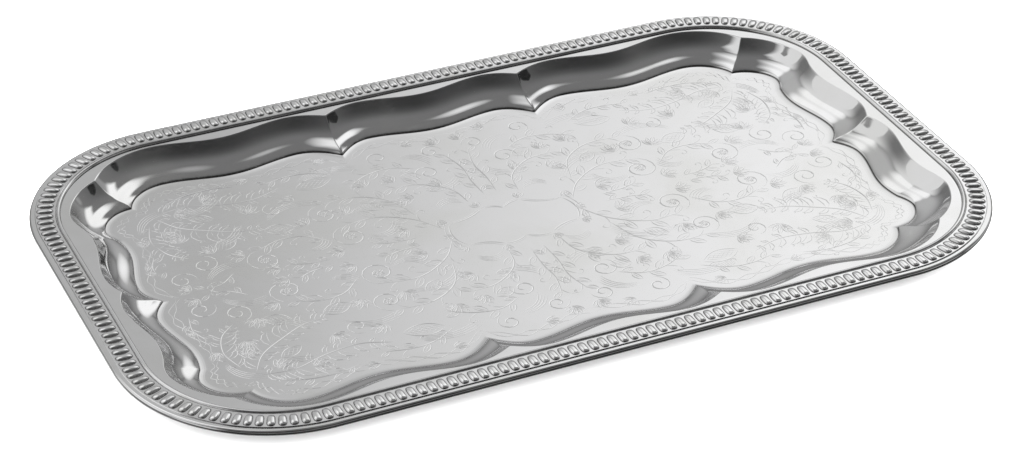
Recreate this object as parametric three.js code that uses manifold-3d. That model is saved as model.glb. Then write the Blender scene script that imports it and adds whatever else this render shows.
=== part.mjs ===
// Silver salver with a scalloped well and a gadrooned border.
// A rounded-rectangle pan is pressed from one sheet, with its edge rolled over a core wire.
// Eight lengths of stamped border and one half-round bead wire are soldered on its flange.
// Millimetres, +X along the length, +Z up. The origin is the centre of the pan's underside.
import * as THREE from 'three';
import { mergeGeometries, mergeVertices } from 'three/addons/utils/BufferGeometryUtils.js';
import Module from 'manifold-3d';

const wasm = await Module();
wasm.setup();

// Overall plan
const length = 530;
const width = 325;
const corner_radius = 92;

// Pan
const sheet = 0.8;
const well_depth = 13.5;
const roll_radius = 1.6;

// Scalloped well. Each pair is the flange left showing inside the bead wire, and the level
// distance that the wall runs from there down to the floor.
const long_dip = { flange: 8.2, wall: 23.2 };
const long_lobe = { flange: 1.8, wall: 23.4 };
const long_cusp = { flange: 9.0, wall: 28.3 };
const corner_cusp = { flange: 9.4, wall: 24.7 };
const short_dip = { flange: 11.3, wall: 20.5 };
const short_lobe = { flange: 5.0, wall: 19.6 };
const short_cusp = { flange: 9.3, wall: 23.5 };
const middle_cusp_x = 64;
const middle_lobe_setback = 22;
const outer_lobe_setback = 24;
const short_lobe_setback = 17;
const wave_step = 11;

// Ogee of the well's wall: share of the way out, and share of the way up
const wall_ogee = [[0.14, 0.2], [0.5, 0.5], [0.84, 0.86]];

// A corner turns in equal steps, shared by every piece that goes round it
const corner_steps = 11;
const corner_lobe_step = 2;
const corner_cusp_step = 6;

// Border, bead wire and core wire
const solder_film = 0.05;
const border_clearance = 0.2;
const border_thickness = 0.55;
const border_chamfer = 0.3;
const gadroon_outer_margin = 1;
const gadroon_inner_margin = 1.5;
const gadroon_width = 4.6;
const gadroon_height = 1.1;
const gadroon_pitch = 5.87;
const gadroon_sink = 0.1;
const bead_radius = 1.4;
const bead_inset = 16.75;
const bead_sides = 6;
const wire_sides = 8;
const wire_clearance = 0.1;

// Places that follow from the sizes above
const flange_top = sheet + well_depth;
const solder_top = flange_top + solder_film;
const border_top = solder_top + border_thickness;
const roll_centre_z = flange_top - roll_radius;
const border_outer_inset = 2 * roll_radius + border_clearance;
const border_inner_inset = bead_inset - bead_radius - solder_film;
const gadroon_outer_inset = border_outer_inset + gadroon_outer_margin;
const gadroon_inner_inset = border_inner_inset - gadroon_inner_margin;
const gadroon_inset = (gadroon_outer_inset + gadroon_inner_inset) / 2;
const straight_x = length / 2 - corner_radius;
const straight_y = width / 2 - corner_radius;
const corner_arc = (Math.PI / 2) * corner_radius;
const corner_step = corner_arc / corner_steps;
const quarter_run = straight_y + corner_arc + straight_x;

const polished = { color: 0xd9dbde, roughness: 0.12, metalness: 1 };
const stamped = { color: 0xe2e3e5, roughness: 0.18, metalness: 1 };
const drawn = { color: 0xc9ccd1, roughness: 0.15, metalness: 1 };
const tinned_iron = { color: 0x77797d, roughness: 0.5, metalness: 1 };

const quadrants = [
  { x: 1, y: 1, forward: true },
  { x: -1, y: 1, forward: false },
  { x: -1, y: -1, forward: true },
  { x: 1, y: -1, forward: false },
];

const salver = new THREE.Group();

function addPart(name, geometry, finish) {
  const mesh = new THREE.Mesh(geometry, new THREE.MeshStandardMaterial(finish));
  mesh.name = name;
  salver.add(mesh);
}

// ---- Stations on the outline ----

// A station is an anchor on the rectangle of corner centres, and the outward normal there.
// run is the length along the outer edge from the middle of a short side to that of a long side.
function stationAt(run, quadrant) {
  const angle = THREE.MathUtils.clamp((run - straight_y) / corner_radius, 0, Math.PI / 2);
  const along_x = straight_x - Math.max(0, run - straight_y - corner_arc);
  const along_y = Math.min(run, straight_y);
  return {
    run,
    anchor: new THREE.Vector2(quadrant.x * along_x, quadrant.y * along_y),
    normal: new THREE.Vector2(quadrant.x * Math.cos(angle), quadrant.y * Math.sin(angle)),
  };
}

function insetPoint(station, inset, z) {
  const reach = corner_radius - inset;
  const x = station.anchor.x + station.normal.x * reach;
  const y = station.anchor.y + station.normal.y * reach;
  return new THREE.Vector3(x, y, z);
}

// Goes once round the outline through the given runs of each quarter, which start at the
// middle of the short side and end at the middle of the long side
function stationsRound(runs) {
  return quadrants.flatMap((quadrant) => {
    const ordered = quadrant.forward ? runs.slice(0, -1) : runs.slice(1).reverse();
    return ordered.map((run) => stationAt(run, quadrant));
  });
}

function cornerRuns() {
  return Array.from({ length: corner_steps + 1 }, (_, i) => straight_y + i * corner_step);
}

// ---- Scallops ----

// Lobes, dips and pointed cusps of the wall, in order along a quarter of the outline
function scallopKnots() {
  const corner_lobe = straight_y + corner_lobe_step * corner_step;
  const long_start = straight_y + corner_arc;
  const outer_lobe = quarter_run - middle_cusp_x - outer_lobe_setback;
  return [
    { run: 0, cusp: true, ...short_cusp },
    { run: short_lobe_setback, ...short_lobe },
    { run: (short_lobe_setback + corner_lobe) / 2, ...short_dip },
    { run: corner_lobe, ...short_lobe },
    { run: straight_y + corner_cusp_step * corner_step, cusp: true, ...corner_cusp },
    { run: long_start, ...long_lobe },
    { run: (long_start + outer_lobe) / 2, ...long_dip },
    { run: outer_lobe, ...long_lobe },
    { run: quarter_run - middle_cusp_x, cusp: true, ...long_cusp },
    { run: quarter_run - middle_cusp_x + middle_lobe_setback, ...long_lobe },
    { run: quarter_run, ...long_dip },
  ];
}

// Insets, from the outer edge, of the creases at the flange and at the floor. The outline is
// round between a lobe and a dip, and falls ever more steeply from a lobe to a cusp.
function scallopAt(run, knots) {
  const last = knots.length - 2;
  const i = Math.min(last, knots.findIndex((knot, k) => k === last || run < knots[k + 1].run));
  const [a, b] = [knots[i], knots[i + 1]];
  const t = (run - a.run) / (b.run - a.run);
  let share = (1 - Math.cos(Math.PI * t)) / 2;
  if (a.cusp) share = 1 - (1 - t) ** 2;
  if (b.cusp) share = t ** 2;
  const top = bead_inset + bead_radius + THREE.MathUtils.lerp(a.flange, b.flange, share);
  return { top, floor: top + THREE.MathUtils.lerp(a.wall, b.wall, share) };
}

function scallopRuns(knots) {
  const breaks = [...knots.map((knot) => knot.run), straight_y].sort((a, b) => a - b);
  const runs = [0];
  for (let i = 0; i < breaks.length - 1; i++) {
    const gap = breaks[i + 1] - breaks[i];
    const on_corner = breaks[i] >= straight_y && breaks[i + 1] <= straight_y + corner_arc;
    const count = Math.max(1, Math.round(gap / (on_corner ? corner_step : wave_step)));
    for (let k = 1; k <= count; k++) runs.push(breaks[i] + (gap * k) / count);
  }
  return runs;
}

// ---- Solids from rows of points ----

// Wraps faces round the rows, in whichever sense gives a positive volume
function closedBody(points, faces) {
  const volume = faces.reduce((sum, [a, b, c]) => {
    return sum + points[a].dot(new THREE.Vector3().crossVectors(points[b], points[c]));
  }, 0);
  const index = volume > 0 ? faces.flat() : faces.flatMap(([a, b, c]) => [a, c, b]);
  return new THREE.BufferGeometry().setFromPoints(points).setIndex(index);
}

// Faces between each row and the next; closed_round joins the last row to the first, and
// closed_across joins the end of every row to its start
function skinFaces(row_count, row_size, closed_round, closed_across) {
  const faces = [];
  const rows = closed_round ? row_count : row_count - 1;
  const spans = closed_across ? row_size : row_size - 1;
  for (let i = 0; i < rows; i++) {
    for (let k = 0; k < spans; k++) {
      const a = i * row_size + k;
      const b = i * row_size + ((k + 1) % row_size);
      const c = ((i + 1) % row_count) * row_size + k;
      const d = ((i + 1) % row_count) * row_size + ((k + 1) % row_size);
      faces.push([a, b, d], [a, d, c]);
    }
  }
  return faces;
}

// A counter-clockwise section of (inset, height) points carried along stations, as a ring or
// with closed ends
function sweptBody(section, stations, closed_round) {
  const points = stations.flatMap((station) => section.map((p) => insetPoint(station, p.x, p.y)));
  const faces = skinFaces(stations.length, section.length, closed_round, true);
  if (!closed_round) {
    const cap = THREE.ShapeUtils.triangulateShape(section, []);
    const far = (stations.length - 1) * section.length;
    faces.push(...cap.map(([a, b, c]) => [a, c, b]));
    faces.push(...cap.map(([a, b, c]) => [a + far, b + far, c + far]));
  }
  return closedBody(points, faces);
}

// ---- Pan ----

// The upper face of the sheet from the floor's crease to the flange's crease
function wallProfile(scallop) {
  const crease = new THREE.Vector2(scallop.floor, sheet);
  const brim = new THREE.Vector2(scallop.top, flange_top);
  const between = wall_ogee.map(([out, up]) => {
    const inset = THREE.MathUtils.lerp(crease.x, brim.x, out);
    return new THREE.Vector2(inset, sheet + well_depth * up);
  });
  return [crease, ...between, brim];
}

// The lower face of the sheet, one sheet thickness from each part of the upper face.
// The floor before the profile and the flange after it are level.
function undersideOf(profile) {
  const level = new THREE.Vector2(0, 1);
  const normals = profile.slice(1).map((point, k) => {
    const along = point.clone().sub(profile[k]).normalize();
    return new THREE.Vector2(along.y, -along.x);
  });
  const before = [level, ...normals];
  const after = [...normals, level];
  return profile.map((point, k) => {
    const mitre = before[k].clone().add(after[k]);
    return point.clone().addScaledVector(mitre, -sheet / (1 + before[k].dot(after[k])));
  });
}

// Three quarters of a turn round the core wire, starting on top
function rollArc(radius) {
  const steps = (wire_sides * 3) / 4;
  return Array.from({ length: steps + 1 }, (_, i) => {
    const angle = Math.PI / 2 + (i * 2 * Math.PI) / wire_sides;
    const x = roll_radius + radius * Math.cos(angle);
    return new THREE.Vector2(x, roll_centre_z + radius * Math.sin(angle));
  });
}

function panSection(scallop) {
  const upper = wallProfile(scallop);
  const lower = undersideOf(upper);
  const outer_roll = rollArc(roll_radius);
  const inner_roll = rollArc(roll_radius - sheet);
  return [...upper, ...outer_roll, ...inner_roll.reverse(), ...lower.reverse()];
}

function makePan() {
  const knots = scallopKnots();
  const stations = stationsRound(scallopRuns(knots));
  const sections = stations.map((station) => panSection(scallopAt(station.run, knots)));
  const row_size = sections[0].length;
  const points = stations.flatMap((station, i) => {
    return sections[i].map((p) => insetPoint(station, p.x, p.y));
  });
  const faces = skinFaces(stations.length, row_size, true, false);
  for (const [column, faces_up] of [[0, true], [row_size - 1, false]]) {
    const corner = (i) => i * row_size + column;
    const outline = stations.map((_, i) => new THREE.Vector2().copy(points[corner(i)]));
    for (const [a, b, c] of THREE.ShapeUtils.triangulateShape(outline, [])) {
      faces.push(faces_up ? [corner(a), corner(b), corner(c)] : [corner(a), corner(c), corner(b)]);
    }
  }
  return closedBody(points, faces);
}

// ---- Border ----

function borderSection() {
  const shoulder = border_top - border_chamfer;
  return [
    new THREE.Vector2(border_outer_inset, solder_top),
    new THREE.Vector2(border_inner_inset, solder_top),
    new THREE.Vector2(border_inner_inset, shoulder),
    new THREE.Vector2(border_inner_inset - border_chamfer, border_top),
    new THREE.Vector2(border_outer_inset + border_chamfer, border_top),
    new THREE.Vector2(border_outer_inset, shoulder),
  ];
}

// A hipped lobe lying across the border, with its foot sunk into it
function gadroonBody(station) {
  const spread = (gadroon_height + gadroon_sink) / gadroon_height;
  const half_long = (gadroon_inner_inset - gadroon_outer_inset) / 2;
  const half_wide = gadroon_width / 2;
  const shoulder = half_long - half_wide;
  const foot_plan = [
    [half_long, 0], [shoulder, half_wide], [-shoulder, half_wide],
    [-half_long, 0], [-shoulder, -half_wide], [shoulder, -half_wide],
  ];
  const across = new THREE.Vector3(-station.normal.y, station.normal.x, 0);
  const place = (out, aside, z) => {
    return insetPoint(station, gadroon_inset - out, z).addScaledVector(across, aside);
  };
  const foot = foot_plan.map(([out, aside]) => {
    return place(out * spread, aside * spread, border_top - gadroon_sink);
  });
  const ridge = [shoulder, -shoulder].map((out) => place(out, 0, border_top + gadroon_height));
  const faces = [
    [0, 1, 6], [1, 2, 7], [1, 7, 6], [2, 3, 7], [3, 4, 7], [4, 5, 6], [4, 6, 7], [5, 0, 6],
    [0, 2, 1], [0, 3, 2], [0, 4, 3], [0, 5, 4],
  ];
  return closedBody([...foot, ...ridge], faces);
}

function toSolid(geometry) {
  const merged = mergeVertices(geometry);
  return new wasm.Manifold(new wasm.Mesh({
    numProp: 3,
    vertProperties: new Float32Array(merged.attributes.position.array),
    triVerts: new Uint32Array(merged.index.array),
  }));
}

function toGeometry(solid) {
  const mesh = solid.getMesh();
  const geometry = new THREE.BufferGeometry();
  geometry.setAttribute('position', new THREE.BufferAttribute(mesh.vertProperties, mesh.numProp));
  return geometry.setIndex(new THREE.BufferAttribute(mesh.triVerts, 1));
}

function makeBorder(stations, gadroon_stations) {
  const strip = toSolid(sweptBody(borderSection(), stations, false));
  const gadroons = toSolid(mergeGeometries(gadroon_stations.map(gadroonBody)));
  return toGeometry(strip.add(gadroons));
}

// Places evenly spaced about the middle of a stretch, as near the stamping pitch as fits it
function gadroonPlaces(stretch) {
  const count = Math.round(stretch / gadroon_pitch);
  return Array.from({ length: count }, (_, i) => (stretch * (i + 0.5)) / count);
}

// One straight length along a side whose outward normal is given
function makeStraightBorder(normal, half_run) {
  const along = new THREE.Vector2(-normal.y, normal.x);
  const side_anchor = new THREE.Vector2(normal.x * straight_x, normal.y * straight_y);
  const at = (offset) => ({ anchor: side_anchor.clone().addScaledVector(along, offset), normal });
  const end = half_run - solder_film;
  const places = gadroonPlaces(2 * half_run).map((place) => at(place - half_run));
  return makeBorder([at(-end), at(end)], places);
}

function makeCornerBorder(quadrant) {
  const gadroon_radius = corner_radius - gadroon_inset;
  const places = gadroonPlaces((Math.PI / 2) * gadroon_radius).map((place) => {
    return stationAt(straight_y + (place * corner_radius) / gadroon_radius, quadrant);
  });
  return makeBorder(cornerRuns().map((run) => stationAt(run, quadrant)), places);
}

// ---- Wires ----

function makeBeadWire() {
  const section = Array.from({ length: bead_sides + 1 }, (_, i) => {
    const angle = (i * Math.PI) / bead_sides;
    const rise = bead_radius * Math.sin(angle);
    return new THREE.Vector2(bead_inset + bead_radius * Math.cos(angle), solder_top + rise);
  });
  return sweptBody(section, stationsRound([0, ...cornerRuns(), quarter_run]), true);
}

function makeCoreWire() {
  const radius = roll_radius - sheet - wire_clearance;
  const section = Array.from({ length: wire_sides }, (_, i) => {
    const angle = (i * 2 * Math.PI) / wire_sides;
    const x = roll_radius + radius * Math.cos(angle);
    return new THREE.Vector2(x, roll_centre_z + radius * Math.sin(angle));
  });
  return sweptBody(section, stationsRound([0, ...cornerRuns(), quarter_run]), true);
}

// ---- Assembly ----

addPart('tray_pan', makePan(), polished);
addPart('edge_core_wire', makeCoreWire(), tinned_iron);
addPart('inner_bead_wire', makeBeadWire(), drawn);

addPart('border_right', makeStraightBorder(new THREE.Vector2(1, 0), straight_y), stamped);
addPart('border_back', makeStraightBorder(new THREE.Vector2(0, 1), straight_x), stamped);
addPart('border_left', makeStraightBorder(new THREE.Vector2(-1, 0), straight_y), stamped);
addPart('border_front', makeStraightBorder(new THREE.Vector2(0, -1), straight_x), stamped);

const corner_names = ['back_right', 'back_left', 'front_left', 'front_right'];
corner_names.forEach((name, i) => {
  addPart(`border_corner_${name}`, makeCornerBorder(quadrants[i]), stamped);
});

export default salver;
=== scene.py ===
import math
from functools import partial

import bmesh
import bpy
import numpy as np
from mathutils.geometry import delaunay_2d_cdt
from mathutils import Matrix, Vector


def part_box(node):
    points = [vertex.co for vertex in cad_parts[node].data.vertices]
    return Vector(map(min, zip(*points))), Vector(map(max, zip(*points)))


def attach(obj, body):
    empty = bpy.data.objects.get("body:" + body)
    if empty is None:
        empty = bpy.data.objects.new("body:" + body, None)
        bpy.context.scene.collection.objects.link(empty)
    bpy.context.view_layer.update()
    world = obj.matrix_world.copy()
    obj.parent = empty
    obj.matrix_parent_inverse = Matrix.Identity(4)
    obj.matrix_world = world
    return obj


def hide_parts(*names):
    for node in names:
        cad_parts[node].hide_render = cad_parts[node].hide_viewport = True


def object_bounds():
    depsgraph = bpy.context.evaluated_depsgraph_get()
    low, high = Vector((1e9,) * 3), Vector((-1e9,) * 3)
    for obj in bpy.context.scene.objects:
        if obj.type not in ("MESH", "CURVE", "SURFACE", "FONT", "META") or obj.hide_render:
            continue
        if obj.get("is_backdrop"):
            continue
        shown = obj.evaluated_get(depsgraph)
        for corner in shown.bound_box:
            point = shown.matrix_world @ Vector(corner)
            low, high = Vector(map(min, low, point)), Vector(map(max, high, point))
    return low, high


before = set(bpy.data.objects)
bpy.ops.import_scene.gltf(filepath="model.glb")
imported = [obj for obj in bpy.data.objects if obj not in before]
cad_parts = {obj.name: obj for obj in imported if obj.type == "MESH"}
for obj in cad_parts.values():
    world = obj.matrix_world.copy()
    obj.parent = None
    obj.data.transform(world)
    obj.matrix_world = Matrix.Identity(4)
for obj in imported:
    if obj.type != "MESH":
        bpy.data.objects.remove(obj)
cad_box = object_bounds()

# ---- Sizes, in metres, from the frame and from the salver's own design ----

MM = 0.001
_, pan_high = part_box("tray_pan")
flange_top = pan_high.z
sheet = 0.8 * MM
floor_top = sheet
corner_radius = 92 * MM
roll_radius = 1.6 * MM
wire_radius = 0.72 * MM
bead_radius = 1.4 * MM
bead_inset = 16.75 * MM
solder_film = 0.05 * MM
border_clearance = 0.2 * MM
border_thickness = 0.55 * MM
border_chamfer = 0.3 * MM
gadroon_pitch = 5.87 * MM
gadroon_outer_margin = 1.0 * MM
gadroon_inner_margin = 1.5 * MM
gadroon_width = 4.6 * MM
gadroon_height = 1.1 * MM

straight_x = pan_high.x - corner_radius
straight_y = pan_high.y - corner_radius
corner_arc = corner_radius * math.pi / 2
quarter_run = straight_y + corner_arc + straight_x
solder_top = flange_top + solder_film
border_top = solder_top + border_thickness
roll_centre_z = flange_top - roll_radius
border_outer = 2 * roll_radius + border_clearance
border_inner = bead_inset - bead_radius - solder_film
gadroon_outer = border_outer + gadroon_outer_margin
gadroon_inner = border_inner - gadroon_inner_margin
gadroon_centre = (gadroon_outer + gadroon_inner) / 2

QUADRANTS = [(1, 1), (-1, 1), (-1, -1), (1, -1)]

# ---- Places on the outline ----


class Stations:
    """Places along the outline: anchors on the rectangle of corner centres, and outward normals."""

    def __init__(self, runs, side_x, side_y):
        runs = np.asarray(runs, float)
        angle = np.clip((runs - straight_y) / corner_radius, 0, math.pi / 2)
        along_x = straight_x - np.maximum(0, runs - straight_y - corner_arc)
        along_y = np.minimum(runs, straight_y)
        self.runs = runs
        self.anchor = np.stack([side_x * along_x, side_y * along_y], axis=1)
        self.normal = np.stack([side_x * np.cos(angle), side_y * np.sin(angle)], axis=1)

    @classmethod
    def joined(cls, parts):
        whole = cls([], 1, 1)
        whole.runs = np.concatenate([part.runs for part in parts])
        whole.anchor = np.concatenate([part.anchor for part in parts])
        whole.normal = np.concatenate([part.normal for part in parts])
        return whole

    def points(self, inset, z):
        """Points at an inset from the outer edge, one for each station."""
        reach = np.broadcast_to(corner_radius - np.asarray(inset), self.runs.shape)
        plan = self.anchor + self.normal * reach[:, None]
        height = np.broadcast_to(np.asarray(z, float), self.runs.shape)
        return np.column_stack([plan, height])


def stations_round(quarter_runs):
    """Once round the outline, counter-clockwise from the middle of the +X side."""
    parts = []
    for side_x, side_y in QUADRANTS:
        forward = side_x == side_y
        ordered = quarter_runs[:-1] if forward else quarter_runs[:0:-1]
        parts.append(Stations(ordered, side_x, side_y))
    return Stations.joined(parts)

# ---- Meshes from rows of points ----

# Edges that turn more than this are drawn sharp
SHARP_DEGREES = 35


def skin(rows, closed_round=True, closed_across=False):
    """Quads between neighbouring rows. rows is (rows, stations, 3)."""
    row_count, size = rows.shape[:2]
    quads = []
    for i in range(row_count if closed_across else row_count - 1):
        here = i * size
        there = ((i + 1) % row_count) * size
        for k in range(size if closed_round else size - 1):
            after = (k + 1) % size
            quads.append((here + k, here + after, there + after, there + k))
    return quads


def make_piece(name, points, faces, material, painted_shade):
    """A mesh object. The last argument says, point by point, how much painted shade darkens it
    there, from 0 to 1.
    """
    mesh = bpy.data.meshes.new(name)
    mesh.from_pydata([tuple(p) for p in points], [], faces)
    painted_darkening = mesh.attributes.new("painted_shade", "FLOAT", "POINT")
    painted_darkening.data.foreach_set("value", np.asarray(painted_shade, np.float32))
    mesh.validate()
    mesh.shade_smooth()
    mesh.set_sharp_from_angle(angle=math.radians(SHARP_DEGREES))
    mesh.materials.append(material)
    piece = bpy.data.objects.new(name, mesh)
    bpy.context.scene.collection.objects.link(piece)
    return piece


def outward(points, faces):
    """The faces turned so that the closed body has a positive volume."""
    points = np.asarray(points)
    volume = 0.0
    for face in faces:
        a = points[face[0]]
        for k in range(1, len(face) - 1):
            volume += float(np.dot(a, np.cross(points[face[k]], points[face[k + 1]])))
    return faces if volume > 0 else [tuple(reversed(face)) for face in faces]


def finish_piece(piece, slot, *nodes):
    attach(piece, "root")
    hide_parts(*nodes)

# ---- Materials ----


def new_node(tree, kind, **settings):
    """A node with its properties set."""
    node = tree.nodes.new(kind)
    for key, value in settings.items():
        setattr(node, key, value)
    return node


def feed(tree, source, target):
    tree.links.new(source, target)


def wiping_marks_group():
    """Fine scratches left by wiping, in two directions: outputs a height and a mask."""
    group = bpy.data.node_groups.new("wiping_marks", "ShaderNodeTree")
    face = group.interface
    face.new_socket("Vector", in_out="INPUT", socket_type="NodeSocketVector")
    face.new_socket("Spacing", in_out="INPUT", socket_type="NodeSocketFloat")
    face.new_socket("Height", in_out="OUTPUT", socket_type="NodeSocketFloat")
    face.new_socket("Marks", in_out="OUTPUT", socket_type="NodeSocketFloat")
    entry = group.nodes.new("NodeGroupInput")
    leave = group.nodes.new("NodeGroupOutput")
    layers = []
    for angle, stretch in ((0.35, 0.035), (-0.6, 0.05)):
        turn = new_node(group, "ShaderNodeMapping")
        turn.inputs["Rotation"].default_value = (0, 0, angle)
        turn.inputs["Scale"].default_value = (stretch, 1, 1)
        noise = new_node(group, "ShaderNodeTexNoise", noise_dimensions="3D")
        noise.inputs["Detail"].default_value = 3
        noise.inputs["Roughness"].default_value = 0.65
        feed(group, entry.outputs["Vector"], turn.inputs["Vector"])
        feed(group, turn.outputs["Vector"], noise.inputs["Vector"])
        feed(group, entry.outputs["Spacing"], noise.inputs["Scale"])
        layers.append(noise.outputs["Fac"])
    both = new_node(group, "ShaderNodeMath", operation="ADD")
    feed(group, layers[0], both.inputs[0])
    feed(group, layers[1], both.inputs[1])
    marks = new_node(group, "ShaderNodeMapRange")
    marks.inputs["From Min"].default_value = 1.05
    marks.inputs["From Max"].default_value = 1.45
    feed(group, both.outputs["Value"], marks.inputs["Value"])
    feed(group, both.outputs["Value"], leave.inputs["Height"])
    feed(group, marks.outputs["Result"], leave.inputs["Marks"])
    return group


def handling_haze_group():
    """Soft patches where the polish is dulled: outputs a mask."""
    group = bpy.data.node_groups.new("handling_haze", "ShaderNodeTree")
    face = group.interface
    face.new_socket("Vector", in_out="INPUT", socket_type="NodeSocketVector")
    face.new_socket("Size", in_out="INPUT", socket_type="NodeSocketFloat")
    face.new_socket("Haze", in_out="OUTPUT", socket_type="NodeSocketFloat")
    entry = group.nodes.new("NodeGroupInput")
    leave = group.nodes.new("NodeGroupOutput")
    noise = new_node(group, "ShaderNodeTexNoise")
    noise.inputs["Detail"].default_value = 4
    noise.inputs["Distortion"].default_value = 0.6
    soften = new_node(group, "ShaderNodeMapRange", interpolation_type="SMOOTHSTEP")
    soften.inputs["From Min"].default_value = 0.4
    soften.inputs["From Max"].default_value = 0.72
    feed(group, entry.outputs["Vector"], noise.inputs["Vector"])
    feed(group, entry.outputs["Size"], noise.inputs["Scale"])
    feed(group, noise.outputs["Fac"], soften.inputs["Value"])
    feed(group, soften.outputs["Result"], leave.inputs["Haze"])
    return group


# The dark colour of the painted shade laid into the recesses: the wall's foot and the feet of the
# gadroons and the bead
PAINTED_SHADE_COLOUR = (0.1, 0.095, 0.09)
MARK_SPACING = 900
MARK_ROUGHNESS = 0.06
WIPING_MARKS = wiping_marks_group()
HANDLING_HAZE = handling_haze_group()


def metal_material(name, clean, dulled, roughness, haze_roughness, scratch_depth, haze_size=14):
    """Polished metal: haze patches tint and roughen it, and wiping marks cut fine lines in it."""
    material = bpy.data.materials.new(name)
    material.use_nodes = True
    tree = material.node_tree
    shader = tree.nodes["Principled BSDF"]
    shader.inputs["Metallic"].default_value = 1.0
    place = tree.nodes.new("ShaderNodeTexCoord")
    marks = tree.nodes.new("ShaderNodeGroup")
    marks.node_tree = WIPING_MARKS
    marks.inputs["Spacing"].default_value = MARK_SPACING
    haze = tree.nodes.new("ShaderNodeGroup")
    haze.node_tree = HANDLING_HAZE
    haze.inputs["Size"].default_value = haze_size
    feed(tree, place.outputs["Object"], marks.inputs["Vector"])
    feed(tree, place.outputs["Object"], haze.inputs["Vector"])
    tint = new_node(tree, "ShaderNodeMix", data_type="RGBA")
    tint.inputs["A"].default_value = (*clean, 1)
    tint.inputs["B"].default_value = (*dulled, 1)
    feed(tree, haze.outputs["Haze"], tint.inputs["Factor"])
    # Painted shade: a per-point attribute mixes the dark shade colour into the base colour along
    # creases and round the feet of raised parts
    painted_shade = new_node(tree, "ShaderNodeAttribute", attribute_name="painted_shade")
    painted_darkening = new_node(tree, "ShaderNodeMix", data_type="RGBA")
    painted_darkening.inputs["B"].default_value = (*PAINTED_SHADE_COLOUR, 1)
    feed(tree, painted_shade.outputs["Fac"], painted_darkening.inputs["Factor"])
    feed(tree, tint.outputs["Result"], painted_darkening.inputs["A"])
    feed(tree, painted_darkening.outputs["Result"], shader.inputs["Base Color"])
    rough = new_node(tree, "ShaderNodeMapRange")
    rough.inputs["To Min"].default_value = roughness
    rough.inputs["To Max"].default_value = haze_roughness
    feed(tree, haze.outputs["Haze"], rough.inputs["Value"])
    scratched = new_node(tree, "ShaderNodeMath", operation="MULTIPLY_ADD")
    scratched.inputs[1].default_value = MARK_ROUGHNESS
    feed(tree, marks.outputs["Marks"], scratched.inputs[0])
    feed(tree, rough.outputs["Result"], scratched.inputs[2])
    feed(tree, scratched.outputs["Value"], shader.inputs["Roughness"])
    bump = tree.nodes.new("ShaderNodeBump")
    bump.inputs["Strength"].default_value = 1.0
    bump.inputs["Distance"].default_value = scratch_depth
    feed(tree, marks.outputs["Height"], bump.inputs["Height"])
    feed(tree, bump.outputs["Normal"], shader.inputs["Normal"])
    return material


polished_silver = metal_material(
    "polished_silver", (0.93, 0.93, 0.935), (0.86, 0.86, 0.85), 0.05, 0.1, 0.0000012)
stamped_silver = metal_material(
    "stamped_silver", (0.94, 0.94, 0.945), (0.82, 0.82, 0.81), 0.06, 0.12, 0.000001, haze_size=60)
drawn_silver = metal_material(
    "drawn_silver", (0.93, 0.93, 0.935), (0.84, 0.84, 0.83), 0.06, 0.11, 0.000001, haze_size=60)
tinned_iron = metal_material(
    "tinned_iron", (0.5, 0.51, 0.52), (0.32, 0.31, 0.3), 0.35, 0.6, 0.000004, haze_size=120)

# ---- Pan: scalloped outline ----

# Each pair is the flange showing inside the bead wire, and the level run of the wall, in mm
LONG_DIP = (8.2, 23.2)
LONG_LOBE = (1.8, 23.4)
LONG_CUSP = (9.0, 28.3)
CORNER_CUSP = (9.4, 24.7)
SHORT_DIP = (11.3, 20.5)
SHORT_LOBE = (5.0, 19.6)
SHORT_CUSP = (9.3, 23.5)
corner_step = corner_arc / 11
middle_cusp_x = 64 * MM
cusp_rounding = 0.5 * MM
station_spacing = 2.9 * MM
# Extra places beside each cusp, in mm from it
CUSP_OFFSETS = (0.25, 0.55, 1.0, 1.6)


def scallop_knots():
    corner_lobe = straight_y + 2 * corner_step
    long_start = straight_y + corner_arc
    outer_lobe = quarter_run - middle_cusp_x - 24 * MM
    return [
        (0, SHORT_CUSP, True),
        (17 * MM, SHORT_LOBE, False),
        ((17 * MM + corner_lobe) / 2, SHORT_DIP, False),
        (corner_lobe, SHORT_LOBE, False),
        (straight_y + 6 * corner_step, CORNER_CUSP, True),
        (long_start, LONG_LOBE, False),
        ((long_start + outer_lobe) / 2, LONG_DIP, False),
        (outer_lobe, LONG_LOBE, False),
        (quarter_run - middle_cusp_x, LONG_CUSP, True),
        (quarter_run - middle_cusp_x + 22 * MM, LONG_LOBE, False),
        (quarter_run, LONG_DIP, False),
    ]


def scallop_insets(runs):
    """Insets from the outer edge of the flange's crease and of the floor's crease."""
    flange = np.zeros(len(runs))
    wall = np.zeros(len(runs))
    knots = scallop_knots()
    for (start, low, start_cusp), (end, high, end_cusp) in zip(knots, knots[1:]):
        inside = (runs >= start - 1e-9) & (runs <= end + 1e-9)
        gap = runs[inside] - start
        if start_cusp:
            away = np.sqrt(gap ** 2 + cusp_rounding ** 2) - cusp_rounding
            share = 1 - (1 - np.minimum(1, away / (end - start))) ** 2
        elif end_cusp:
            back = end - start - gap
            away = np.sqrt(back ** 2 + cusp_rounding ** 2) - cusp_rounding
            share = (1 - np.minimum(1, away / (end - start))) ** 2
        else:
            share = (1 - np.cos(math.pi * gap / (end - start))) / 2
        flange[inside] = low[0] + (high[0] - low[0]) * share
        wall[inside] = low[1] + (high[1] - low[1]) * share
    top = bead_inset + bead_radius + flange * MM
    return top, top + wall * MM


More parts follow.
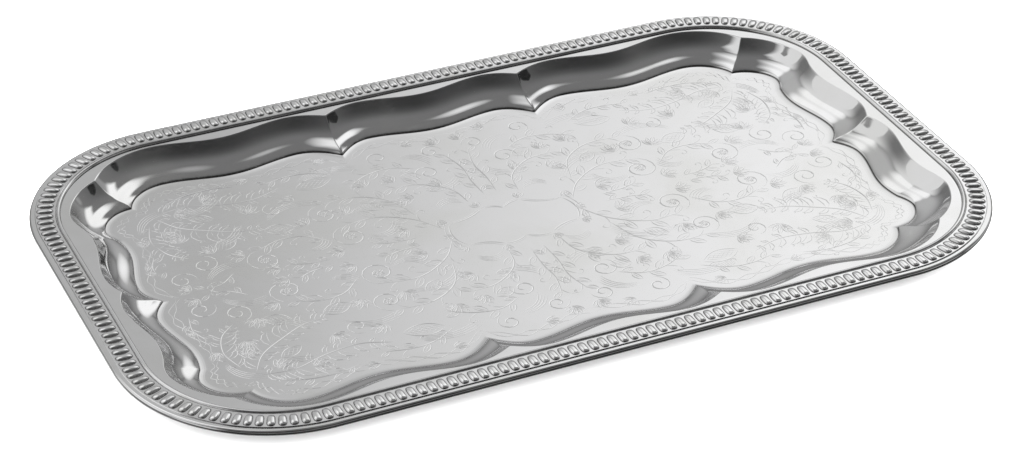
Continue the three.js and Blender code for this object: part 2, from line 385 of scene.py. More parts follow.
def scallop_runs():
    """Places along a quarter: every few millimetres, and closer together beside each cusp."""
    runs = [0.0, quarter_run]
    knots = scallop_knots()
    for (start, _, _), (end, _, _) in zip(knots, knots[1:]):
        count = max(2, round((end - start) / station_spacing))
        runs.extend(np.linspace(start, end, count + 1))
    for place, _, cusp in knots:
        if cusp:
            for offset in CUSP_OFFSETS:
                runs.extend([place - offset * MM, place + offset * MM])
    runs.append(straight_y)
    kept = sorted(run for run in runs if 0 <= run <= quarter_run)
    close = [b for a, b in zip(kept, kept[1:]) if b - a > 0.12 * MM]
    return np.array([kept[0]] + close[:-1] + [quarter_run])

# ---- Pan: section ----

# Slope of the wall, in degrees, against the share of the way along it from the floor.
# The upper face has a tight step at its foot; the lower face follows without it.
UPPER_SLOPES = [(0, 5), (0.006, 40), (0.014, 72), (0.03, 72), (0.045, 38), (0.07, 27),
                (0.15, 19), (0.28, 12.5), (0.36, 14), (0.5, 24), (0.65, 37), (0.78, 44),
                (0.97, 45), (0.985, 30), (1, 0)]
LOWER_SLOPES = [(0, 6), (0.05, 20), (0.18, 18), (0.35, 19), (0.5, 26), (0.65, 36), (0.78, 43),
                (0.93, 42), (1, 0)]
WALL_ROWS = 22
LOWER_WALL_ROWS = 10
FOOT_ROWS = (0.004, 0.008, 0.012, 0.016, 0.022, 0.03, 0.037, 0.045, 0.055, 0.07)
EDGE_ROWS = (0.975, 0.982, 0.99, 0.995)
# The floor dishes up a little on its way to the wall
dish_width = 4.5 * MM
dish_rise = 0.28 * MM
DISH_ROWS = (0, 0.25, 0.5, 0.7, 0.85)
# Level strips of the flange, above the wall and before the roll
flange_start = 0.3 * MM
flange_end = 0.4 * MM
ROLL_STEPS = 14
INNER_ROLL_STEPS = 8


def foot_painted_shade(share):
    """How much painted shade darkens the wall's foot: a dark line along the crease."""
    return np.clip(1.6 - np.abs(np.asarray(share) - 0.02) / 0.015, 0, 1)


def upper_shares():
    return np.unique(np.concatenate([np.linspace(0, 1, WALL_ROWS), FOOT_ROWS, EDGE_ROWS]))


def wall_shape(slopes, rows):
    """Shares of the run and of the height, row by row, from the slopes."""
    along = np.linspace(0, 1, 2001)
    knots = np.array(slopes, float)
    slope = np.radians(np.interp(along, knots[:, 0], knots[:, 1]))
    out = np.concatenate([[0], np.cumsum(np.cos(slope[:-1]))])
    up = np.concatenate([[0], np.cumsum(np.sin(slope[:-1]))])
    return np.interp(rows, along, out / out[-1]), np.interp(rows, along, up / up[-1])


def face_rows(top, crease, slopes, shares):
    """Rows of (inset, height above the floor) from the level floor, up the wall, to the flange."""
    rise = flange_top - floor_top - dish_rise
    rows = []
    for share in DISH_ROWS:
        rows.append((crease + dish_width * (1 - share), 0 * crease + dish_rise * share ** 2))
    for out, up in zip(*wall_shape(slopes, shares)):
        rows.append((crease + (top - crease) * out, 0 * crease + dish_rise + rise * up))
    rows.append((top - flange_start, 0 * crease + dish_rise + rise))
    return np.array(rows).transpose(0, 2, 1)


def lower_rows(top, crease):
    """The lower face, one sheet thickness below a smooth wall."""
    rows = face_rows(top, crease, LOWER_SLOPES, np.linspace(0, 1, LOWER_WALL_ROWS))
    run = np.gradient(rows, axis=0)
    length = np.linalg.norm(run, axis=2, keepdims=True)
    normal = np.stack([run[..., 1], -run[..., 0]], axis=2) / length
    lower = rows - normal * sheet
    lower[0, :, 1] = -sheet
    lower[-1, :, 1] = rows[-1, :, 1] - sheet
    return lower


def roll_arc(radius, steps):
    """Three quarters of a turn round the core wire, starting on top."""
    angle = math.pi / 2 + np.linspace(0, 1.5 * math.pi, steps + 1)
    return roll_radius + radius * np.cos(angle), roll_centre_z + radius * np.sin(angle)


def pan_rows(stations):
    """Rows of points over the floor's edge, the wall, the flange and the roll, and back below."""
    top, crease = scallop_insets(stations.runs)
    rows = [stations.points(row[:, 0], floor_top + row[:, 1])
            for row in face_rows(top, crease, UPPER_SLOPES, upper_shares())]
    rows.append(stations.points(roll_radius + flange_end, flange_top))
    rows.extend(stations.points(*place) for place in zip(*roll_arc(roll_radius, ROLL_STEPS)))
    inner_roll = list(zip(*roll_arc(roll_radius - sheet, INNER_ROLL_STEPS)))
    rows.extend(stations.points(*place) for place in inner_roll[::-1])
    rows.extend(stations.points(row[:, 0], floor_top + row[:, 1])
                for row in lower_rows(top, crease)[::-1])
    return np.array(rows)

# ---- Border ----

CELL_ALONG = 6
CELL_ACROSS = 8
# Rings of a gadroon, as shares of its outline, with how much painted shade darkens each: a dark
# outline round its foot
LOBE_RINGS = (1.08, 1, 0.97, 0.9, 0.78, 0.6, 0.3)
LOBE_PAINTED_SHADE = (0, 0.7, 0.5, 0.1, 0, 0, 0)
LOBE_SQUARENESS = 3
LOBE_FULLNESS = 3.2


def cell_outline():
    """The outline of one pitch of border, as (along, across) from -1 to 1, counter-clockwise."""
    along = np.linspace(-1, 1, CELL_ALONG + 1)
    across = np.linspace(-1, 1, CELL_ACROSS + 1)
    outline = [(a, -1) for a in along[:-1]]
    outline += [(1, b) for b in across[:-1]]
    outline += [(a, 1) for a in along[:0:-1]]
    outline += [(-1, b) for b in across[:0:-1]]
    return np.array(outline)


def lobe_points(place, centre):
    """Rings of one gadroon from its foot to its crown. place(along, inset, z) puts a point."""
    outline = cell_outline()
    angle = np.arctan2(outline[:, 1], outline[:, 0])
    power = 2 / LOBE_SQUARENESS
    wide = np.sign(np.cos(angle)) * np.abs(np.cos(angle)) ** power * gadroon_width / 2
    long = np.sign(np.sin(angle)) * np.abs(np.sin(angle)) ** power
    long = long * (gadroon_inner - gadroon_outer) / 2
    rings = []
    for ring in LOBE_RINGS:
        rise = gadroon_height * math.sqrt(max(0, 1 - ring ** LOBE_FULLNESS))
        rings.append(place(centre + wide * ring, gadroon_centre + long * ring, border_top + rise))
    crown = place(np.array([centre]), np.array([gadroon_centre]), border_top + gadroon_height)
    return np.concatenate(rings + [crown])


def border_length(name, place, stretch):
    """A stamped length: a chamfered strip, with a gadroon in the middle of every pitch."""
    count = round(stretch / gadroon_pitch)
    pitch = stretch / count
    outer_edge = border_outer + border_chamfer
    inner_edge = border_inner - border_chamfer
    shoulder = border_top - border_chamfer
    along = np.linspace(0, stretch, count * CELL_ALONG + 1)
    section = [(outer_edge, border_top), (border_outer, shoulder), (border_outer, solder_top),
               (border_inner, solder_top), (border_inner, shoulder), (inner_edge, border_top)]
    points = [place(along, inset, z) for inset, z in section]
    size = len(along)
    faces = skin(np.zeros((len(section), size, 3)), closed_round=False)
    total = len(section) * size
    across = np.linspace(outer_edge, inner_edge, CELL_ACROSS + 1)[1:-1]
    joins = []
    # Painted shade in a dark ring round the foot of each gadroon
    lobe_painted_shade = np.append(np.repeat(LOBE_PAINTED_SHADE, len(cell_outline())), 0)
    for k in range(count + 1):
        here = np.full(len(across), k * pitch)
        points.append(place(here, across, border_top))
        inner = list(range(total, total + len(across)))
        total += len(across)
        edge = k * CELL_ALONG
        joins.append([edge] + inner + [(len(section) - 1) * size + edge])
    for k in range(count):
        rings = lobe_points(place, (k + 0.5) * pitch)
        points.append(rings)
        low, high = k * CELL_ALONG, (k + 1) * CELL_ALONG
        last = (len(section) - 1) * size
        loop = list(range(low, high)) + joins[k + 1][:-1]
        loop += [last + e for e in range(high, low, -1)] + joins[k][:0:-1]
        around = len(loop)
        for ring in range(len(LOBE_RINGS)):
            inside = [total + ring * around + i for i in range(around)]
            for i in range(around):
                j = (i + 1) % around
                faces.append((loop[i], inside[i], inside[j], loop[j]))
            loop = inside
        crown = total + len(LOBE_RINGS) * around
        faces.extend((loop[i], crown, loop[(i + 1) % around]) for i in range(around))
        total = crown + 1
    for k, turned in ((0, False), (count, True)):
        edge = k * CELL_ALONG
        cap = [row * size + edge for row in range(1, len(section) - 1)] + joins[k][::-1]
        faces.append(tuple(reversed(cap)) if turned else tuple(cap))
    points = np.concatenate(points)
    flat_count = len(points) - count * len(lobe_painted_shade)
    painted_shade = np.concatenate([np.zeros(flat_count), np.tile(lobe_painted_shade, count)])
    return make_piece(name, points, outward(points, faces), stamped_silver, painted_shade)


def straight_place(normal_x, normal_y, half_run):
    """Places along a straight side; the length stops a solder film short of each corner."""
    end = half_run - solder_film

    def place(along, inset, z):
        offset = np.clip(along - half_run, -end, end)
        reach = corner_radius - np.asarray(inset)
        x = normal_x * (straight_x + reach) - normal_y * offset
        y = normal_y * (straight_y + reach) + normal_x * offset
        return np.column_stack([x, y, np.broadcast_to(z, x.shape)])

    return place


def corner_place(side_x, side_y):
    """Places round a corner, measured along the middle of the gadroons."""
    gadroon_radius = corner_radius - gadroon_centre

    def place(along, inset, z):
        angle = np.asarray(along) / gadroon_radius
        reach = corner_radius - np.asarray(inset)
        x = side_x * (straight_x + reach * np.cos(angle))
        y = side_y * (straight_y + reach * np.sin(angle))
        return np.column_stack([x, y, np.broadcast_to(z, x.shape)])

    return place


def make_border():
    sides = {"right": (1, 0, straight_y), "back": (0, 1, straight_x),
             "left": (-1, 0, straight_y), "front": (0, -1, straight_x)}
    for side, (normal_x, normal_y, half_run) in sides.items():
        place = straight_place(normal_x, normal_y, half_run)
        piece = border_length("gadrooned_border_" + side, place, 2 * half_run)
        finish_piece(piece, "stamped_silver", "border_" + side)
    corners = {"back_right": (1, 1), "back_left": (-1, 1),
               "front_left": (-1, -1), "front_right": (1, -1)}
    stretch = (corner_radius - gadroon_centre) * math.pi / 2
    for corner, (side_x, side_y) in corners.items():
        piece = border_length("gadrooned_corner_" + corner, corner_place(side_x, side_y), stretch)
        finish_piece(piece, "stamped_silver", "border_corner_" + corner)

# ---- Wires ----


def wire_stations():
    corner_runs = straight_y + np.linspace(0, corner_arc, 61)
    return stations_round(np.concatenate([[0], corner_runs, [quarter_run]]))


def make_ring(name, section, material, painted_shade):
    """A wire of the given section, with how much painted shade darkens each line of it."""
    stations = wire_stations()
    rows = np.array([stations.points(inset, z) for inset, z in section])
    faces = skin(rows, closed_round=True, closed_across=True)
    points = rows.reshape(-1, 3)
    painted_darkening = np.repeat(painted_shade, len(stations.runs))
    return make_piece(name, points, outward(points, faces), material, painted_darkening)


def make_bead_wire():
    angle = np.linspace(0, math.pi, 17)
    # Painted shade along both feet of the bead, where it sits against the border and on the flange
    painted_shade = np.clip(1 - np.minimum(angle, math.pi - angle) / math.radians(30), 0, 1)
    section = list(zip(bead_inset + bead_radius * np.cos(angle),
                       solder_top + bead_radius * np.sin(angle)))
    bead = make_ring("half_round_bead", section, drawn_silver, painted_shade)
    finish_piece(bead, "drawn_silver", "inner_bead_wire")


def make_core_wire():
    angle = np.linspace(0, 2 * math.pi, 17)[:-1]
    section = list(zip(roll_radius + wire_radius * np.cos(angle),
                       roll_centre_z + wire_radius * np.sin(angle)))
    core = make_ring("rolled_in_wire", section, tinned_iron, np.zeros(len(section)))
    finish_piece(core, "tinned_iron", "edge_core_wire")

# ---- Engraving ----

# A cut is (points, width, depth) in millimetres: a groove that tapers to nothing at both ends.
# The figures are drawn for one quarter of the floor, from its centre, and turned over for the rest.
BOLD = (0.95, 0.07)
PLAIN = (0.8, 0.058)
FINE = (0.6, 0.042)
HATCH = (0.42, 0.03)
PATH_STEPS = 6
LEAF_CROWDING = 1.5
LEAF_GROWTH = 1.4
FAN_BLADES = 5
FAN_SPREAD = 26
HATCH_PITCH = 2.1
HATCH_SLANT = 35
SWEEP_LINES = 4
SWEEP_GAP = 2.3
WAVE_POINTS = 174
WAVE_HALF_LENGTH = 3
WAVE_CUT_POINTS = 29
# Two running waves: offset from the foot of the wall, and swing
WAVES = [(7.5, 0.9), (10.2, -0.9)]


def unit(angle):
    return np.array([math.cos(math.radians(angle)), math.sin(math.radians(angle))])


def bow(start, end, bulge, weight=PLAIN, count=9):
    """A curved cut from start to end, bulging to its left by a share of its length."""
    start, end = np.array(start, float), np.array(end, float)
    t = np.linspace(0, 1, count)[:, None]
    along = end - start
    aside = np.array([-along[1], along[0]])
    return [(start + along * t + aside * (4 * bulge * t * (1 - t)), *weight)]


def spiral(centre, radius, start, turns, weight=BOLD, inner=0.16):
    """A cut that winds inwards; positive turns are counter-clockwise."""
    count = max(8, round(abs(turns) * 15))
    t = np.linspace(0, 1, count)
    angle = np.radians(start + 360 * turns * t)
    reach = radius * (1 - (1 - inner) * t ** 0.85)
    points = np.array(centre) + np.column_stack([np.cos(angle), np.sin(angle)]) * reach[:, None]
    return [(points, *weight)]


def path(points):
    """A smooth line through the points."""
    points = np.array(points, float)
    ends = np.concatenate([[2 * points[0] - points[1]], points, [2 * points[-1] - points[-2]]])
    t = np.linspace(0, 1, PATH_STEPS, endpoint=False)[:, None]
    line = []
    for a, b, c, d in zip(ends, ends[1:], ends[2:], ends[3:]):
        line.append(0.5 * (2 * b + (c - a) * t + (2 * a - 5 * b + 4 * c - d) * t ** 2
                           + (3 * b - a - 3 * c + d) * t ** 3))
    return np.concatenate(line + [points[-1:]])


def headings(line):
    step = np.gradient(line, axis=0)
    return np.degrees(np.arctan2(step[:, 1], step[:, 0]))


def leaf(root, angle, size, lean):
    """A pointed leaf: two bowed edges and a vein."""
    root = np.array(root, float)
    tip = root + unit(angle) * size
    vein_start = root + unit(angle) * size * 0.15
    vein_end = root + unit(angle) * size * 0.8
    cuts = bow(root, tip, lean, PLAIN, 5) + bow(root, tip, -lean * 0.7, FINE, 5)
    return cuts + bow(vein_start, vein_end, 0.03, FINE, 3)


def curl(root, angle, size, hand):
    """A short tendril ending in a ring; hand is 1 to turn left and -1 to turn right."""
    root = np.array(root, float)
    centre = root + unit(angle) * size * 0.75 + unit(angle + 90 * hand) * size * 0.28
    cuts = bow(root, centre - unit(angle + 90 * hand) * size * 0.28, -0.08 * hand, FINE, 5)
    return cuts + spiral(centre, size * 0.28, angle - 90 * hand, 0.85 * hand, FINE)


def sprays(line, count, size, first):
    """Leaves and tendrils on alternate sides of a line."""
    turned = headings(line)
    cuts = []
    for k in range(count):
        i = round((k + 0.7) / count * (len(line) - 1))
        hand = first if k % 2 == 0 else -first
        grown = size * (0.72 + 0.28 * math.sin(math.pi * (k + 0.5) / count))
        if k % 3 == 2:
            cuts += curl(line[i], turned[i] + 42 * hand, grown, hand)
        else:
            cuts += leaf(line[i], turned[i] + 38 * hand, grown, 0.22 * hand)
    return cuts


def stem(points, count, size, first=1):
    line = path(points)
    leaves = sprays(line, round(count * LEAF_CROWDING), size * LEAF_GROWTH, first)
    return [(line, *BOLD)] + leaves


def acanthus(points, count, size, hand):
    """A plume: a rib with lobes that curl over on one side and lie flat on the other."""
    line = path(points)
    turned = headings(line)
    cuts = [(line, *BOLD)]
    for k in range(count):
        i = round((k + 0.4) / count * (len(line) - 1))
        grown = size * math.sin(math.pi * (0.2 + 0.72 * (k + 0.5) / count))
        for side, share in ((hand, 1), (-hand, 0.62)):
            angle = turned[i] + 48 * side
            tip = line[i] + unit(angle) * grown * share
            cuts += bow(line[i], tip, 0.3 * side, PLAIN, 5)
            cuts += bow(line[i] + unit(turned[i]) * 1.2, tip, 0.08 * side, FINE, 4)
            cuts += spiral(tip - unit(angle - 90 * side) * grown * share * 0.14,
                           grown * share * 0.14, angle - 90 * side, 0.7 * -side, FINE)
    return cuts


def fan(root, angle, size):
    """A palmette: pointed blades that share a root, the middle one longest."""
    cuts = []
    for k in range(FAN_BLADES):
        off = k - (FAN_BLADES - 1) / 2
        grown = size * (1 - 0.1 * abs(off))
        cuts += leaf(root, angle + off * FAN_SPREAD, grown, 0.16)
    return cuts


def rosette(centre, radius, petals):
    cuts = spiral(centre, radius * 0.3, 0, 0.97, FINE, 0.9)
    for k in range(petals):
        angle = 360 * k / petals
        root = np.array(centre) + unit(angle) * radius * 0.32
        for side in (-1, 1):
            tip = np.array(centre) + unit(angle) * radius
            cuts += bow(root, tip, 0.32 * side, PLAIN, 5)
    return cuts


def diaper(centre, half_long, half_wide, angle):
    """A lens-shaped patch of crossed fine cuts inside a plain outline."""
    centre = np.array(centre, float)
    along, across = unit(angle), unit(angle + 90)
    ends = (centre - along * half_long * 1.12, centre + along * half_long * 1.12)
    lean = half_wide / half_long * 0.56
    cuts = bow(*ends, lean, PLAIN, 13) + bow(*ends, -lean, PLAIN, 13)
    reach = math.hypot(half_long, half_wide)
    for slant in (HATCH_SLANT, -HATCH_SLANT):
        way = unit(angle + slant)
        side = unit(angle + slant + 90)
        for k in np.arange(-reach, reach, HATCH_PITCH):
            t = np.linspace(-reach, reach, 121)
            line = centre + side * k + way * t[:, None]
            u = (line - centre) @ along / half_long
            v = (line - centre) @ across / half_wide
            inside = line[u ** 2 + v ** 2 < 0.92]
            if len(inside) > 8:
                cuts.append((np.linspace(inside[0], inside[-1], 3), *HATCH))
    return cuts


CUT_MARGIN = 1.5
# Palmettes: x, y, heading, length
FANS = [
    (60, 14, -10, 12), (88, 44, 100, 12), (112, 42, 60, 11), (66, 68, 80, 11), (110, 70, 40, 11),
    (140, 68, 120, 12), (156, 26, 20, 11), (172, 36, 70, 11), (186, 54, 100, 11), (204, 58, 60, 9),
    (160, 92, 170, 12), (126, 104, 20, 9), (84, 106, 160, 9), (54, 108, 20, 9), (28, 104, 150, 10),
    (8, 96, 80, 10), (24, 50, 40, 11), (44, 44, 20, 11), (48, 66, 60, 10), (196, 4, 40, 9),
    (142, 6, 10, 11), (102, 8, 10, 11), (178, 86, 210, 12), (190, 70, 230, 12), (212, 34, 80, 8),
]
# Bundles of sweeping lines: start, end, bulge
SWEEPS = [
    ((46, 36), (84, 46), 0.22), ((98, 66), (132, 58), 0.2), ((10, 60), (34, 52), -0.2),
    ((150, 60), (176, 46), -0.22), ((60, 92), (100, 90), 0.16), ((186, 92), (204, 72), 0.2),
    ((108, 28), (122, 18), -0.25), ((150, 98), (182, 84), -0.18), ((16, 80), (36, 92), 0.2),
    ((160, 22), (184, 12), 0.2), ((64, 28), (84, 18), -0.25), ((20, 34), (36, 30), 0.25),
]


# Tufts of leaves round the cartouche: x, y, heading
CARTOUCHE_LEAVES = [(37, 11, 30), (36.5, -16, -35), (13, 20, 75), (15, -24, -75), (39, -3, 0)]


def quarter_figures():
    cuts = []
    cuts += stem([(40, 4), (52, 22), (72, 34), (93, 33)], 7, 9.5)
    cuts += spiral((93, 21), 12, 90, -1.6) + rosette((93, 21), 3.4, 5)
    cuts += stem([(105, 20), (118, 32), (133, 34), (146, 29)], 5, 8.5, -1)
    cuts += spiral((147, 17), 12, 85, -1.55) + rosette((147, 17), 3.2, 5)
    cuts += stem([(58, 4), (74, 5), (84, 8)], 4, 7, -1)
    cuts += stem([(112, 3), (126, 4), (136, 8)], 4, 7, 1)
    cuts += stem([(50, 26), (58, 48), (76, 60), (98, 60)], 7, 9, -1)
    cuts += spiral((99, 49.5), 10.5, 92, -1.5) + rosette((99, 49.5), 3, 5)
    cuts += stem([(16, 27), (20, 45), (36, 58), (55, 60)], 7, 9)
    cuts += spiral((25, 68), 9, -60, 1.5)
    cuts += stem([(30, 75), (44, 82), (60, 80), (74, 72)], 6, 8, -1)
    cuts += stem([(4, 32), (5, 50), (4, 66), (8, 84)], 7, 8)
    cuts += spiral((14, 90), 7.5, 190, -1.4) + spiral((46, 96), 8, -90, 1.4)
    cuts += acanthus([(190, 84), (181, 70), (166, 60), (150, 52), (134, 51)], 9, 15, 1)
    cuts += acanthus([(188, 88), (170, 90), (150, 84), (130, 82), (112, 88)], 9, 14, -1)
    cuts += acanthus([(196, 78), (200, 62), (196, 46), (186, 36)], 7, 12, -1)
    cuts += spiral((180, 27), 9.5, 80, 1.5) + spiral((124, 66), 7.5, 100, -1.3)
    cuts += spiral((197, 16), 9, 200, -1.4) + stem([(206, 20), (208, 34), (204, 46)], 4, 6.5)
    cuts += stem([(168, 12), (178, 4), (190, 3)], 3, 6.5, -1)
    cuts += stem([(76, 88), (90, 96), (104, 98), (120, 95)], 5, 7, -1)
    cuts += stem([(136, 100), (150, 103), (166, 102), (180, 97)], 5, 6.5)
    for x, y, angle, size in FANS:
        cuts += fan((x, y), angle, size)
    for start, end, bulge in SWEEPS:
        for k in range(SWEEP_LINES):
            side = np.array([end[1] - start[1], start[0] - end[0]], float)
            side *= k * SWEEP_GAP / np.linalg.norm(side)
            cuts += bow(start + side, end + side * 0.4, bulge, FINE, 7)
    cuts += diaper((128, 45), 8.5, 4.2, 12) + diaper((92, 84), 11, 4.5, -8)
    cuts += diaper((162, 42), 8, 4, -30) + diaper((70, 46), 7, 3.2, 38)
    cuts += diaper((36, 68), 6, 3.4, 20) + diaper((166, 74), 7, 3, 25)
    return cuts


def outline_corner(side, grow, x, y):
    return np.array([side * x, y]) * grow


def cartouche():
    """The blank in the middle: a double line with pointed corners and a notch in its long sides."""
    cuts = []
    for grow, weight in ((1.0, BOLD), (1.07, FINE)):
        for side in (-1, 1):
            put = partial(outline_corner, side, grow)
            cuts += bow(put(0, 13.5), put(12, 18), 0.12 * side, weight)
            cuts += bow(put(12, 18), put(36, 10), -0.1 * side, weight)
            cuts += bow(put(36, 10), put(35, -15), 0.16 * side, weight)
            cuts += bow(put(35, -15), put(15, -22), -0.1 * side, weight)
            cuts += bow(put(15, -22), put(0, -18.5), 0.12 * side, weight)
    for side in (-1, 1):
        for x, y, angle in CARTOUCHE_LEAVES:
            for spread in (-30, 0, 30):
                turned = angle + spread if side > 0 else 180 - angle - spread
                cuts += leaf((side * x, y), turned, 6.5, 0.22)
    return cuts


def edge_wave():
    """A running wave all round, a little way in from the foot of the wall."""
    runs = np.linspace(0, quarter_run, WAVE_POINTS)
    cuts = []
    for side_x, side_y in QUADRANTS:
        stations = Stations(runs, side_x, side_y)
        _, crease = scallop_insets(runs)
        for offset, swing in WAVES:
            wave = np.sin(np.arange(len(runs)) * math.pi / WAVE_HALF_LENGTH) * swing
            line = stations.points(crease + (offset + wave) * MM, 0)[:, :2] / MM
            for start in range(0, len(line) - 1, WAVE_CUT_POINTS):
                cuts.append((line[start:start + WAVE_CUT_POINTS + 1], *FINE))
    return cuts


def all_cuts():
    cuts = cartouche() + edge_wave()
    for line, width, depth in quarter_figures():
        for side_x, side_y in QUADRANTS:
            cuts.append((line * (side_x, side_y), width, depth))
    return cuts


def cuts_within(cuts, outline):
    """The cuts that stay inside the outline by a margin towards the middle, in millimetres."""
    edge = outline * (1 - CUT_MARGIN / np.linalg.norm(outline, axis=1, keepdims=True))
    after = np.roll(edge, -1, axis=0)
    kept = []
    for line, width, depth in cuts:
        x, y = line[:, :1], line[:, 1:]
        spans = (edge[:, 1] > y) != (after[:, 1] > y)
        rise = np.where(after[:, 1] == edge[:, 1], 1, after[:, 1] - edge[:, 1])
        crossing = edge[:, 0] + (y - edge[:, 1]) * (after[:, 0] - edge[:, 0]) / rise
        if np.all((spans & (x < crossing)).sum(axis=1) % 2 == 1):
            kept.append((line, width, depth))
    return kept


def groove_outline(line, width):
    """The two edges of a cut, without its ends."""
    along = np.gradient(line, axis=0)
    along /= np.linalg.norm(along, axis=1, keepdims=True)
    aside = np.column_stack([-along[:, 1], along[:, 0]])
    half = half_widths(len(line), width)[:, None]
    return (line + aside * half)[1:-1], (line - aside * half)[1:-1]


def half_widths(count, width):
    return width / 2 * np.clip(np.sin(np.linspace(0, math.pi, count)), 0, 1) ** 0.45


def groove_depths(places, cuts):
    """How deep the deepest cut is at each place, in millimetres."""
    deepest = np.zeros(len(places))
    for line, width, depth in cuts:
        low, high = line.min(0) - width, line.max(0) + width
        near = np.nonzero(np.all((places > low) & (places < high), axis=1))[0]
        if not len(near):
            continue
        half = half_widths(len(line), width)
        start, step = line[:-1], np.diff(line, axis=0)
        offset = places[near][:, None] - start[None]
        t = np.clip((offset * step).sum(2) / (step ** 2).sum(1), 0, 1)
        away = np.linalg.norm(offset - step * t[..., None], axis=2)
        reach = half[:-1] + np.diff(half) * t
        here = depth * reach / (width / 2) * (1 - away / np.maximum(reach, 1e-6))
        deepest[near] = np.maximum(deepest[near], here.max(1))
    return deepest

# ---- Floor ----

CREASE_DEGREES = 1.5
CREASE_DEPTH = 0.08 * MM
MERGE_DISTANCE = 1e-4


def floor_mesh(outline, cuts=()):
    """Triangles over the floor, with every cut's edges and bottom line as edges of the mesh.

    outline is the points round the floor; returns the extra points and the faces.
    """
    count = len(outline)
    flat = [tuple(point) for point in (outline[:, :2] / MM).tolist()]
    edges = [(k, (k + 1) % count) for k in range(count)]
    for line, width, _ in cuts:
        left, right = groove_outline(line, width)
        ends = (len(flat), len(flat) + len(line) - 1)
        flat.extend(map(tuple, line.tolist()))
        edges.extend((k, k + 1) for k in range(*ends))
        for side in (left, right):
            first = len(flat)
            flat.extend(map(tuple, side.tolist()))
            chain = [ends[0], *range(first, len(flat)), ends[1]]
            edges.extend(zip(chain, chain[1:]))
    coords, _, faces, origins, _, _ = delaunay_2d_cdt(flat, edges, [], 1, MERGE_DISTANCE)
    index = []
    extra = []
    for place, origin in zip(coords, origins):
        known = [k for k in origin if k < count]
        if known:
            index.append(known[0])
        else:
            index.append(count + len(extra))
            extra.append((place.x, place.y))
    extra = np.array(extra).reshape(-1, 2)
    depth = groove_depths(extra, cuts)
    height = floor_top - depth * MM
    triangles = [tuple(index[k] for k in face) for face in faces]
    return np.column_stack([extra * MM, height]), triangles


def crease_engraving(piece):
    """Turns the faces outward, and marks the cuts' edges sharp so that the floor stays flat."""
    mesh = bmesh.new()
    mesh.from_mesh(piece.data)
    bmesh.ops.recalc_face_normals(mesh, faces=mesh.faces)
    limit = math.radians(CREASE_DEGREES)
    for edge in mesh.edges:
        if all(abs(vert.co.z - floor_top) < CREASE_DEPTH for vert in edge.verts):
            edge.smooth = edge.calc_face_angle(0) < limit
    mesh.to_mesh(piece.data)
    mesh.free()


def make_pan():
    stations = stations_round(scallop_runs())
    rows = pan_rows(stations)
    size = len(stations.runs)
    faces = skin(rows)
    points = list(rows.reshape(-1, 3))
    cuts = cuts_within(all_cuts(), rows[0][:, :2] / MM)
    extra, triangles = floor_mesh(rows[0], cuts)
    shift = len(points) - size
    for face in triangles:
        faces.append(tuple(k if k < size else k + shift for k in face))
    points.extend(extra)
    last = (len(rows) - 1) * size
    _, underside = floor_mesh(rows[-1])
    faces.extend(tuple(last + k for k in reversed(face)) for face in underside)
    # Painted shade: a dark line along the foot of the wall, row by row
    painted_shade = np.zeros(len(points))
    painted_darkening = foot_painted_shade(upper_shares())
    start = len(DISH_ROWS) * size
    painted_shade[start:start + len(painted_darkening) * size] = np.repeat(painted_darkening, size)
    pan = make_piece("engraved_pan", np.array(points), faces, polished_silver, painted_shade)
    crease_engraving(pan)
    finish_piece(pan, "polished_silver", "tray_pan")


make_pan()
make_border()
make_bead_wire()
make_core_wire()

# ---- Studio ----

# Half the width of the floor, in metres
FLOOR_REACH = 6


def make_floor():
    reach = FLOOR_REACH
    corners = [(-reach, -reach, 0), (reach, -reach, 0), (reach, reach, 0), (-reach, reach, 0)]
    mesh = bpy.data.meshes.new("studio_floor")
    mesh.from_pydata(corners, [], [(0, 1, 2, 3)])
    floor = bpy.data.objects.new("studio_floor", mesh)
    bpy.context.scene.collection.objects.link(floor)
    material = bpy.data.materials.new("pale_floor")
    material.use_nodes = True
    shader = material.node_tree.nodes["Principled BSDF"]
    shader.inputs["Base Color"].default_value = (0.93, 0.93, 0.93, 1)
    shader.inputs["Roughness"].default_value = 1.0
    shader.inputs["Specular IOR Level"].default_value = 0.0
    mesh.materials.append(material)
    floor.visible_glossy = False
    floor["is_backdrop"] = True


# Lit walls of the light tent that the silver mirrors, in degrees and linear brightness:
# azimuth from +Y towards +X as (start, full from, full to, end), elevation likewise, brightness
TENT_PANELS = [
    ((-98, -80, -35, -34), (0, 18, 62, 79), 0.72),
    ((-34, -12, 6, 30), (32, 46, 54, 80), 0.96),
    ((-52, -34, -20, 0), (0, 46, 52, 78), 0.72),
    ((-35, -34, 34, 46), (-10, 45, 48, 60), 0.36),
    ((-35, 4, 34, 46), (-20, 32, 44, 58), 0.44),
    ((0, 38, 42, 50), (16, 29, 46, 57), 0.97),
    ((32, 42, 64, 74), (16, 29, 35, 42), 0.97),
    ((34, 44, 66, 74), (-20, 30, 34, 42), 0.34),
    ((66, 74, 100, 116), (-8, 0, 14, 24), 0.40),
    ((-60, -40, 60, 80), (-100, -90, -20, 0), 0.60),
    ((-130, -115, -98, -80), (-12, -2, 30, 50), 0.55),
    ((-182, -181, -130, -115), (3, 10, 14, 26), 0.2),
    ((104, 120, 140, 160), (0, 8, 20, 34), 0.34),
    ((130, 150, 181, 182), (3, 10, 14, 26), 0.2),
]
# Dark things in the tent: the camera and the mouth of the left-hand light
TENT_SHADES = [
    ((91, 92.5, 103, 104.5), (31, 32, 38.5, 39.5), 0.92),
    ((-79, -77, -69, -67), (39, 41, 46, 48), 0.7),
]
# The unlit cloth darkens towards the camera's side: from and to, as the Y part of a direction
TENT_FADE = (-0.6, 0.3)
TENT_ROOF = 0.155
TENT_SOUTH = 0.02
PLAIN_LIGHT = 4.5


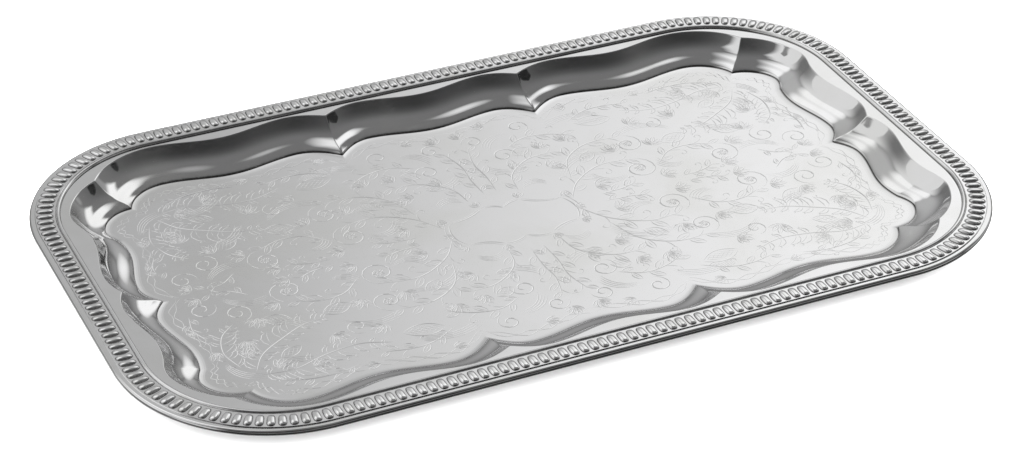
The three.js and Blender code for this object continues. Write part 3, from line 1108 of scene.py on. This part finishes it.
def make_studio_light():
    """A light tent round the tray: what the silver mirrors depends only on the direction."""
    world = bpy.data.worlds.new("studio")
    bpy.context.scene.world = world
    world.use_nodes = True
    tree = world.node_tree
    tree.nodes.clear()

    def math_node(operation, *values):
        node = new_node(tree, "ShaderNodeMath", operation=operation)
        for socket, value in zip(node.inputs, values):
            if isinstance(value, (int, float)):
                socket.default_value = value
            else:
                feed(tree, value, socket)
        return node.outputs["Value"]

    def slope(value, start, end, low=0.0, high=1.0):
        node = new_node(tree, "ShaderNodeMapRange", interpolation_type="SMOOTHSTEP")
        limits = {"From Min": start, "From Max": end, "To Min": low, "To Max": high}
        for name, number in limits.items():
            node.inputs[name].default_value = number
        feed(tree, value, node.inputs["Value"])
        return node.outputs["Result"]

    def window(angle, start, full_from, full_to, end):
        """1 between two angles, falling smoothly to 0 outside them."""
        return math_node("MULTIPLY", slope(angle, start, full_from),
                         slope(angle, full_to, end, 1.0, 0.0))

    place = tree.nodes.new("ShaderNodeTexCoord")
    split = tree.nodes.new("ShaderNodeSeparateXYZ")
    feed(tree, place.outputs["Generated"], split.inputs["Vector"])
    elevation = math_node("DEGREES", math_node("ARCSINE", split.outputs["Z"]))
    azimuth = math_node("DEGREES", math_node("ARCTAN2", split.outputs["X"], split.outputs["Y"]))
    light = slope(split.outputs["Y"], *TENT_FADE, TENT_SOUTH, TENT_ROOF)
    for azimuths, elevations, brightness in TENT_PANELS:
        patch = math_node("MULTIPLY", window(azimuth, *azimuths), window(elevation, *elevations))
        light = math_node("MAXIMUM", light, math_node("MULTIPLY", patch, brightness))
    for azimuths, elevations, darkness in TENT_SHADES:
        patch = math_node("MULTIPLY", window(azimuth, *azimuths), window(elevation, *elevations))
        kept = math_node("SUBTRACT", 1, math_node("MULTIPLY", patch, darkness))
        light = math_node("MULTIPLY", light, kept)

    path = tree.nodes.new("ShaderNodeLightPath")
    mirrored = tree.nodes.new("ShaderNodeBackground")
    feed(tree, light, mirrored.inputs["Color"])
    plain = tree.nodes.new("ShaderNodeBackground")
    plain.inputs["Color"].default_value = (1, 1, 1, 1)
    plain.inputs["Strength"].default_value = PLAIN_LIGHT
    choose = tree.nodes.new("ShaderNodeMixShader")
    leave = tree.nodes.new("ShaderNodeOutputWorld")
    feed(tree, path.outputs["Is Glossy Ray"], choose.inputs["Fac"])
    feed(tree, plain.outputs["Background"], choose.inputs[1])
    feed(tree, mirrored.outputs["Background"], choose.inputs[2])
    feed(tree, choose.outputs["Shader"], leave.inputs["Surface"])


CAMERA_PLACE = (-0.591339, -1.273866, 0.881922)
CAMERA_DEGREES = (57.75092, -0.33472, -24.66466)
CAMERA_LENS = 100.0912
CAMERA_SENSOR = 36


def make_camera():
    camera = bpy.data.cameras.new("camera")
    camera.lens = CAMERA_LENS
    camera.sensor_width = CAMERA_SENSOR
    camera.clip_start = 0.05
    camera.clip_end = 50
    holder = bpy.data.objects.new("camera", camera)
    holder.location = CAMERA_PLACE
    holder.rotation_euler = [math.radians(a) for a in CAMERA_DEGREES]
    bpy.context.scene.collection.objects.link(holder)
    bpy.context.scene.camera = holder


make_floor()
make_studio_light()
make_camera()
bpy.context.scene.view_settings.view_transform = "Standard"

boxes = {"cad": cad_box, "visual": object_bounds()}
{name: [list(corner) for corner in box] for name, box in boxes.items()}
